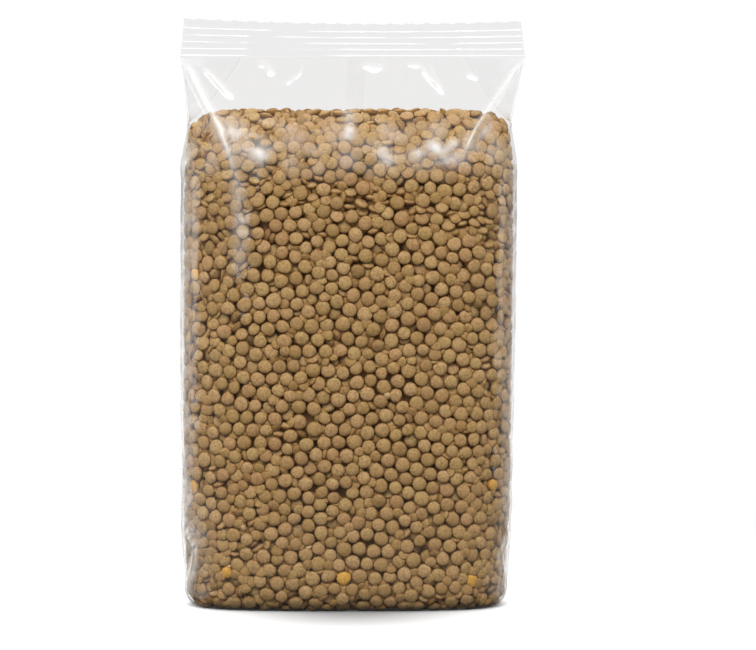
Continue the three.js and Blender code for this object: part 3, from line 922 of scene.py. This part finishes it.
# folds and dents of the front as (points in x and z, height, width), in millimetres
frontCreases = (
    (((-67.0, 219), (-61, 208), (-55.9, 198.5), (-52.3, 191.5), (-46.0, 174)), 1.6, 2.0),
    (((-60, 216), (-54, 210.5), (-49.5, 205.5), (-46, 203)), 0.9, 1.5),
    (((67.4, 218.8), (58, 205), (48.7, 191.5), (43.5, 180)), 1.5, 1.25),
    (((-38, 218), (-34, 216), (-31, 212)), 0.75, 1.7),
    (((-19, 219), (-20.5, 213.5), (-27, 208)), 0.5, 0.9),
    (((3, 217), (9, 215), (13, 216.5)), 0.85, 1.6),
    (((16, 218.5), (18, 213), (19, 207)), 0.2, 0.6),
    (((20, 217), (27, 216), (31, 211), (36, 205)), 0.85, 1.1),
    (((30.5, 218.5), (31.5, 214.5), (36, 205)), 0.55, 0.9),
    (((45, 213), (50, 211)), 0.5, 1.3),
    (((-2.6, 219), (-2.4, 214), (-2.6, 208)), 0.14, 0.5),
    (((-68, 34), (-61.8, 23), (-62.8, 17), (-66, 6)), 1.5, 1.1),
    (((-66, 56), (-64, 46), (-66.5, 34)), 0.5, 1.2),
    (((-64, 7), (-58, 3.5), (-50, 2)), 0.5, 1.0),
    (((63, 32), (57.8, 21), (59.2, 16.5), (58.3, 10), (57.2, 3)), 1.2, 1.1),
    (((63, 64), (64.5, 48), (62, 34)), 0.5, 1.3),
)
backCreases = (
    (((-66.5, 219), (-57, 203), (-50.0, 189), (-45, 176)), 0.9, 1.5),
    (((66.8, 219), (56, 202), (50.0, 190), (46, 178)), 0.9, 1.5),
    (((-30, 218), (-24, 210), (-22, 201)), 0.5, 1.0),
    (((28, 218), (33, 212), (34, 205)), 0.5, 1.1),
    (((8, 218.5), (5, 210)), 0.4, 1.0),
)


def waveField(across, up, lengths, count, seed, steepest=np.pi):
    # a sum of plane waves of random phases and of directions up to steepest from level, scaled to
    # about plus or minus one
    draw = np.random.default_rng(seed)
    total = np.zeros(across.shape)
    for _ in range(count):
        turn = draw.uniform(-steepest, steepest)
        number = 2 * np.pi / draw.uniform(*lengths)
        wave = number * (across * np.cos(turn) + up * np.sin(turn))
        total += np.sin(wave + draw.uniform(0, 2 * np.pi))
    return total / np.sqrt(count)


def filmZones(grid):
    # 0 to 1 over the shoulder and over the two sides
    x, z = grid[..., 0], grid[..., 2]
    shoulder = smoothStep(z, 168, 180) * (1 - smoothStep(z, 189, 198))
    sideways = smoothStep(np.abs(x), 59.5, 66.5) * (1 - smoothStep(z, 176, 190))
    return shoulder, sideways


def facingShare(grid, side):
    # 1 on the face to that side, which is -1 for the front, falling to 0 at the middle of the depth
    return np.clip(side * grid[..., 1] / 4, 0, 1)


swell = {
    # each kind of wave: its lengths, count and seed, then its height
    "slow": ((30, 60), 6, 5), "slowHeight": 0.09,
    "shoulder": ((12, 24), 14, 3, 0.9), "faceHeight": 0.04, "shoulderHeight": 0.2,
    "side": ((7, 14), 14, 4), "sideHeight": 0.14,
}


def filmSwell(grid):
    # slow waves of the film, larger at the shoulder and down the sides, and its creases
    x, y, z = grid[..., 0], grid[..., 1], grid[..., 2]
    shoulder, sideways = filmZones(grid)
    value = waveField(x, z + 3 * y, *swell["shoulder"])
    value *= swell["faceHeight"] + swell["shoulderHeight"] * shoulder
    value += waveField(y * 2, z, *swell["side"]) * swell["sideHeight"] * sideways
    value += waveField(x + 2 * y, z, *swell["slow"]) * swell["slowHeight"]
    for creases, side in ((frontCreases, -1), (backCreases, 1)):
        for points, height, width in creases:
            value += lineCrease(grid, points, height, width) * facingShare(grid, side)
    return value


# how far sheens and creases shine through the dull shoulder, and how dull the folded-in sides are
shine = {"sheens": 2.1, "creaseWidth": 1.6, "folds": 0.9}
# soft whitish sheens of the front, painted white into the film's haze and kept shiny on the dull shoulder, as
# (points in x and z, strength, width), in millimetres
frontSheens = (
    (((-1.6, 200), (-1.2, 193), (-1.8, 186)), 0.5, 2.2),
    (((-56, 194), (-49, 192), (-42, 188)), 0.40, 4.2),
    (((-44, 187), (-38, 183), (-33, 177)), 0.42, 3.4),
    (((10, 184), (13, 179), (16, 176)), 0.45, 2.6),
    (((29, 187), (33, 183), (38, 177)), 0.6, 2.4),
    (((31, 177), (36, 182), (42, 187)), 0.5, 2.0),
    (((22, 181), (33, 181), (45, 179)), 0.35, 2.2),
    (((-47, 176), (-44.5, 160), (-44, 146), (-45, 133)), 0.30, 3.2),
    (((46, 182), (50, 187), (55, 196)), 0.35, 1.8),
)


def sheenField(grid, small):
    # the strongest sheen at each point of the front, broken up by small waves
    value = np.zeros(grid.shape[:2])
    for points, strength, width in frontSheens:
        value = np.maximum(value, lineCrease(grid, points, strength, width))
    return value * facingShare(grid, -1) * (0.45 + 0.75 * np.clip(small, 0, 1.2))


# white of the film: haze near the base, at the edges, sides and lower corners; painted sheen over the
# shoulder; painted highlights along the creases; less round the foot
milk = {
    "low": 0.02, "shoulder": 0.215, "edges": 0.015, "sides": 0.12, "sidePatches": 0.24, "corners": 0.32,
    "creases": 0.4, "creaseWidth": 0.6, "foot": 0.8,
}


def filmHazeAndSheen(grid, small):
    # whiteness of the film: haze patches on the sides, more in the lower corners, painted sheen in patches
    # over the shoulder and along the front's sheens, and painted highlights along the front's creases
    x, y, z = grid[..., 0], grid[..., 1], grid[..., 2]
    shoulder, sideways = filmZones(grid)
    patches = np.clip(0.5 + 0.5 * waveField(x, z + y, (8, 20), 14, 8), 0, 1.2)
    corner = smoothStep(np.abs(x), 52, 64) * (1 - smoothStep(z, 20, 60))
    value = milk["low"] * (1 - smoothStep(z, 4, 70)) * smoothStep(z, 1, 14)
    # painted sheen in patches over the shoulder, and a little haze towards the edges
    value += milk["shoulder"] * shoulder * patches + milk["edges"] * smoothStep(np.abs(x), 44, 54)
    value += sideways * (milk["sides"] + milk["sidePatches"] * np.clip(small, 0, 1.2) ** 2)
    value += milk["corners"] * corner * patches
    value *= 1 - smoothStep(z, 195, 201)
    # painted sheens of the front, added as white
    value += sheenField(grid, small)
    # painted highlights along the front's creases
    for points, height, width in frontCreases:
        crease = lineCrease(grid, points, milk["creases"] * height, milk["creaseWidth"] * width)
        value += crease * facingShare(grid, -1)
    # below zero it takes away from the white of the film seen edge-on, round the foot
    return np.clip(value, 0, 1) - milk["foot"] * (1 - smoothStep(z, 1, 6))


def filmGrid():
    # rings from near the middle of the flat base up to the seal, moved along their normals by the
    # swell, with the middle of the base and each point's share of the folded-in sides
    share = quarterShares()
    edge = film["edgeTop"] * (1 - np.cos(np.linspace(0, np.pi / 2, film["edgeRows"])))
    wall = np.linspace(film["edgeTop"], film["wallTop"], film["wallRows"])[1:]
    upper = np.linspace(film["wallTop"], body["sealBottom"], film["upperRows"])[1:]
    z = np.concatenate([edge, wall, upper])
    ring = soften(fullRing(*filmQuarter(z, share)), film["softness"])
    ring[..., 0] += bodyMiddle(z)[:, None]
    height = np.broadcast_to(z[:, None], ring.shape[:2])
    grid = np.concatenate([ring, height[..., None]], axis=-1)
    moved = filmSwell(grid) * smoothStep(height, 2, 14) * (1 - smoothStep(height, 217.5, 219))
    grid = grid + surfaceNormals(grid) * moved[..., None]
    # the flat base is the lowest ring drawn in to its middle
    middle = np.array([bodyMiddle(0.0), 0.0, 0.0])
    inner = np.linspace(0, 1, film["baseRows"])[1:-1]
    base = middle + (grid[0] - middle)[None] * inner[:, None, None]
    side = smoothStep(share, film["edgeShare"] - 0.01, film["edgeShare"] + 0.02)
    fold = smoothStep(z, 190, 197)[:, None] * side
    folded = np.concatenate([np.zeros(base.shape[:2]), np.abs(fullRing(fold, fold)[..., 0])])
    return np.concatenate([base, grid]), middle, folded


def makeFilm():
    # the rings closed by a fan at the base's middle, and at the top by a ladder of quads from the
    # back layer to the front one
    grid, middle, folded = filmGrid()
    rows, columns = grid.shape[:2]
    step = np.arange(columns)
    fan = np.stack([np.full(columns, rows * columns), (step + 1) % columns, step], axis=1)
    half, top = columns // 2, (rows - 1) * columns
    back = top + np.arange(0, half)
    front = top + (columns - np.arange(0, half + 1)) % columns
    ladder = np.stack([back[1:], np.append(back[2:], top + half), front[2:], front[1:-1]], axis=1)
    ends = np.array([[top, back[1], front[1]], [top + half, front[half - 1], back[half - 1]]])
    faceSets = [np.concatenate([gridFaces(rows, columns), ladder[:-1]]), np.concatenate([fan, ends])]
    # the slack shoulder shines in its sheens and long creases, and is dull between them
    slack = filmZones(grid)[0]
    small = 0.5 + 0.5 * waveField(grid[..., 0] + grid[..., 1], grid[..., 2], (5, 11), 14, 9)
    lit = shine["sheens"] * sheenField(grid, small)
    for points, height, width in frontCreases[:3]:
        lit += lineCrease(grid, points, 1.0, shine["creaseWidth"] * width)
    dull = np.maximum(slack * (1 - np.clip(lit, 0, 1)), shine["folds"] * folded)
    # each field's values on the grid, then at the middle of the base
    fields = {"tight": (1 - smoothStep(grid[..., 2], 186, 196), 1.0), "milk": (filmHazeAndSheen(grid, small), 0.03),
              "folded": (folded, 0.0), "dull": (dull, 0.0), "slack": (slack, 0.0)}
    fields = {name: np.append(values, last) for name, (values, last) in fields.items()}
    points = np.concatenate([grid.reshape(-1, 3), [middle]])
    return makePiece("film_bag", points, faceSets, filmMaterial("clearFilm", filmLook), fields)


seal = {
    "ribs": 5, "pitch": 2.65, "ribHeight": 0.105, "ribWidth": 0.10, "firstRib": -0.55,
    "topHalfWidth": 67.0, "columns": 180, "rows": 130,
    "foldEdge": 41.5, "foldRise": 0.35,             # the sides' folds make the ribs stand higher
    "seam": (-2.3, 5.3), "seamRise": 0.5,           # and so does the back seam
    "raggedness": 0.22, "dip": 1.6, "tiltRight": -0.6, "sway": 0.5,
    "milk": 0.015,
}


def makeSeal():
    # a flat bar, closed round its ends: over each pitch a rib, exp(-(place / width)^2), is pressed
    # into it; the top edge dips in the middle, as 1 - x^2, and is slightly ragged
    share = np.linspace(0, 1, seal["rows"])[:, None]
    even = np.linspace(-1, 1, seal["columns"])
    across = 0.15 * np.sin(even * np.pi / 2) + 0.85 * even
    z = body["sealBottom"] + share * (filmHigh[2] - body["sealBottom"])
    rise = z - body["sealBottom"] - seal["firstRib"]
    inRibs = (rise > 0) & (rise < seal["ribs"] * seal["pitch"])
    place = (rise % seal["pitch"]) / seal["pitch"] - 0.5
    rib = np.where(inRibs, np.exp(-(place / seal["ribWidth"]) ** 2), 0)
    x = (film["top"] + (seal["topHalfWidth"] - film["top"]) * share) * across
    dip = -seal["dip"] * (1 - across ** 2) + seal["tiltRight"] * across
    ragged = np.sin(across * 61) + 0.6 * np.sin(across * 143 + 1) + 0.4 * np.sin(across * 317 + 2)
    tall = z + share * dip + share ** 8 * seal["raggedness"] * ragged
    sway = seal["sway"] * np.sin(x * 0.055 + 0.6) * share
    # ribs fade and shift a little along the seal, and stand higher where more layers lie in it
    strength = 0.8 + 0.12 * np.sin(x * 0.07 + z * 0.4) + 0.10 * np.sin(x * 0.23 + z * 1.3)
    strength += seal["foldRise"] * smoothStep(np.abs(x), seal["foldEdge"] - 1, seal["foldEdge"] + 1)
    seamLeft, seamRight = (smoothStep(x, edge - 0.5, edge + 0.5) for edge in seal["seam"])
    strength += seal["seamRise"] * seamLeft * (1 - seamRight)
    half = film["sealHalf"] * (1 - 0.5 * np.abs(across) ** 30)
    pressed = sway - rib * seal["ribHeight"] * strength
    points, quads = closedBar(np.stack([x, pressed - half, tall], -1),
                              np.stack([x, pressed + half, tall], -1))
    fields = {"tight": np.zeros(len(points)), "milk": np.full(len(points), seal["milk"])}
    return makePiece("film_seal", points, [quads], filmMaterial("sealedFilm", sealLook), fields)


backSeam = {
    "width": 7.6, "middle": 1.5, "thickness": 0.25, "standOff": 0.25, "low": 6.0,
    "columns": 12, "rows": 150, "milk": 0.01,
}


def makeBackSeam():
    # the overlapped seam up the back: a thin strip that follows the back's middle, a little off it,
    # closed round its edges and ends, with a faint waviness from the heat of sealing
    z = np.linspace(backSeam["low"], body["sealBottom"], backSeam["rows"])[:, None]
    deep = filmHalfDepth(z) + 0.08 * np.sin(z * 0.5)
    across = np.linspace(-0.5, 0.5, backSeam["columns"]) * backSeam["width"]
    x = backSeam["middle"] + across + 0.25 * np.sin(z * 0.09)
    off = backSeam["standOff"] * (1 + 0.3 * np.sin(z * 0.37 + 1)) * (1 - (across / 5.5) ** 2)
    near = deep * (1 - (np.abs(x) / film["halfWidth"]) ** 4) ** 0.4 + off
    x, tall = x + bodyMiddle(z), z + 0 * x
    points, quads = closedBar(*(np.stack([x, y, tall], -1) for y in (near, near + backSeam["thickness"])))
    fields = {"tight": np.zeros(len(points)), "milk": np.full(len(points), backSeam["milk"])}
    return makePiece("film_back_seam", points, [quads], filmMaterial("seamFilm", seamLook), fields)


filmPieces = [makeFilm(), makeSeal(), makeBackSeam()]
print("film made:", [(piece.name, len(piece.data.polygons)) for piece in filmPieces])


# Each piece rides on the root, and the part it stands for is hidden

for node, pieces in (("lentils", lentilPieces), ("film", filmPieces)):
    for piece in pieces:
        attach(piece, "root")
        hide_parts(node)


# Floor, lights and camera

floorLook = {
    "size": 3000.0,                                 # half its side
    "bounce": (0.09, 0.09, 0.09, 1),                # colour for the light that it throws onto the bag
    "mirrorY": (-0.05, 0.1), "mirrored": (0.05, 0.8),   # in the film's reflections, by depth in metres
    "foot": (1 / 0.085, 1 / 0.11, 1.0),             # one over the half axes of the contact shade
    "shade": (0.25, 0.84), "shadeTone": (0.3, 1.0),
    "far": (0.95, 3.0),                             # turns as white as the room between these
}


def makeFloor():
    # white to the camera with a painted shade at the bag's foot over its real shadow, but only a grey bounce
    # onto the bag, as from a table in a dark room, and dark in front of the bag where the film reflects it
    material, tool = emptyMaterial("paleFloor")
    path = tool.add("ShaderNodeLightPath").outputs
    place = tool.place()
    behindBag = tool.add("ShaderNodeSeparateXYZ", {0: place}).outputs["Y"]
    tone = tool.ranged(behindBag, *floorLook["mirrorY"], *floorLook["mirrored"])
    plainBounce = tool.add("ShaderNodeBsdfDiffuse", {"Color": floorLook["bounce"]}).outputs[0]
    mirrored = tool.add("ShaderNodeBsdfDiffuse", {"Color": tone}).outputs[0]
    # the distance from the bag in units of an ellipse round its foot
    scaled = tool.add("ShaderNodeVectorMath", {0: place, 1: floorLook["foot"]},
                      operation="MULTIPLY").outputs[0]
    away = tool.add("ShaderNodeVectorMath", {0: scaled}, operation="LENGTH").outputs["Value"]
    # painted shade: the floor's colour darkens towards the bag's foot
    shade = tool.ranged(away, *floorLook["shade"], *floorLook["shadeTone"])
    near = tool.add("ShaderNodeBsdfDiffuse", {"Color": shade}).outputs[0]
    # further off it is exactly as white as the room behind it
    plain = tool.add("ShaderNodeEmission", {"Color": (1, 1, 1, 1), "Strength": 1.0}).outputs[0]
    seen = tool.mixed(tool.ranged(away, *floorLook["far"]), near, plain)
    unseen = tool.mixed(path["Is Glossy Ray"], plainBounce, mirrored)
    surface = tool.mixed(path["Is Camera Ray"], unseen, seen)
    tool.add("ShaderNodeOutputMaterial", {"Surface": surface})
    size = floorLook["size"]
    corners = np.array([[-size, -size, 0], [size, -size, 0], [size, size, 0], [-size, size, 0]], float)
    makePiece("floor", corners, [np.array([[0, 1, 2, 3]])], material)


room = {
    "mirrorY": (0.1, 0.8), "mirrored": (0.02, 0.4),  # strength in reflections, by direction
    "lightZ": (0.0, 1.0), "light": (0.66, 1.82),     # strength of the light on things, by height
}


def makeWorld():
    # plain white where the camera sees past the floor. Reflections find the room bright behind the
    # bag and dim towards the front, and the light that falls on things comes mostly from above
    world = bpy.data.worlds.new("studio")
    bpy.context.scene.world = world
    world.use_nodes = True
    world.node_tree.nodes.clear()
    tool = nodeTools(world.node_tree)
    path = tool.add("ShaderNodeLightPath").outputs
    way = tool.add("ShaderNodeSeparateXYZ", {0: tool.place("Generated")}).outputs

    def glow(strength):
        return tool.add("ShaderNodeBackground", {"Strength": strength}).outputs[0]

    mirror = glow(tool.ranged(way["Y"], *room["mirrorY"], *room["mirrored"]))
    light = glow(tool.ranged(way["Z"], *room["lightZ"], *room["light"]))
    white = tool.add("ShaderNodeBackground", {"Color": (1, 1, 1, 1), "Strength": 1.0}).outputs[0]
    surface = tool.mixed(path["Is Camera Ray"], tool.mixed(path["Is Glossy Ray"], light, mirror), white)
    tool.add("ShaderNodeOutputWorld", {"Surface": surface})


# soft boxes that face the bag: place, width and height in metres, then power in watts
lamps = {
    "overhead": ((-0.12, -0.85, 0.9), 1.0, 0.42, 11.5),
    "frontLeft": ((-0.54, -1.34, 0.45), 0.16, 0.55, 1.6),
    "overheadBack": ((0.12, 0.85, 0.9), 1.0, 0.42, 5),
    "left": ((-0.95, -0.1, 0.30), 0.30, 0.7, 2.1),
    "right": ((0.95, -0.1, 0.30), 0.30, 0.7, 1.8),
}
lampAim = Vector((0, 0, 0.12))


def softBox(name, place, width, height, power):
    # a rectangular lamp that the camera doesn't see
    lamp = bpy.data.lights.new(name, "AREA")
    lamp.shape = "RECTANGLE"
    lamp.size, lamp.size_y = width, height
    lamp.energy = power
    holder = bpy.data.objects.new(name, lamp)
    bpy.context.scene.collection.objects.link(holder)
    holder.location = place
    holder.rotation_euler = (lampAim - Vector(place)).to_track_quat("-Z", "Y").to_euler()
    holder.visible_camera = False


view = {
    "target": (0.0101, 0.0, 0.1124), "distance": 1.4, "elevation": 4.0,
    "width": 0.3024, "sensor": 36.0, "clipEnd": 20,
}


def makeCamera():
    # looks at the target from the front, raised by the elevation in degrees, with width metres of the
    # target's plane across the picture
    camera = bpy.data.cameras.new("camera")
    camera.sensor_width = view["sensor"]
    camera.sensor_fit = "HORIZONTAL"
    camera.lens = view["sensor"] * view["distance"] / view["width"]
    camera.clip_end = view["clipEnd"]
    holder = bpy.data.objects.new("camera", camera)
    bpy.context.scene.collection.objects.link(holder)
    rise = math.radians(view["elevation"])
    x, y, z = view["target"]
    holder.location = (x, y - view["distance"] * math.cos(rise), z + view["distance"] * math.sin(rise))
    holder.rotation_euler = (math.pi / 2 - rise, 0, 0)
    bpy.context.scene.camera = holder


makeFloor()
makeWorld()
makeCamera()
for name, lamp in lamps.items():
    softBox(name, *lamp)
scene = bpy.context.scene
scene.view_settings.view_transform = "Standard"
scene.view_settings.look = "None"
print("studio made:", len(lamps), "lamps")
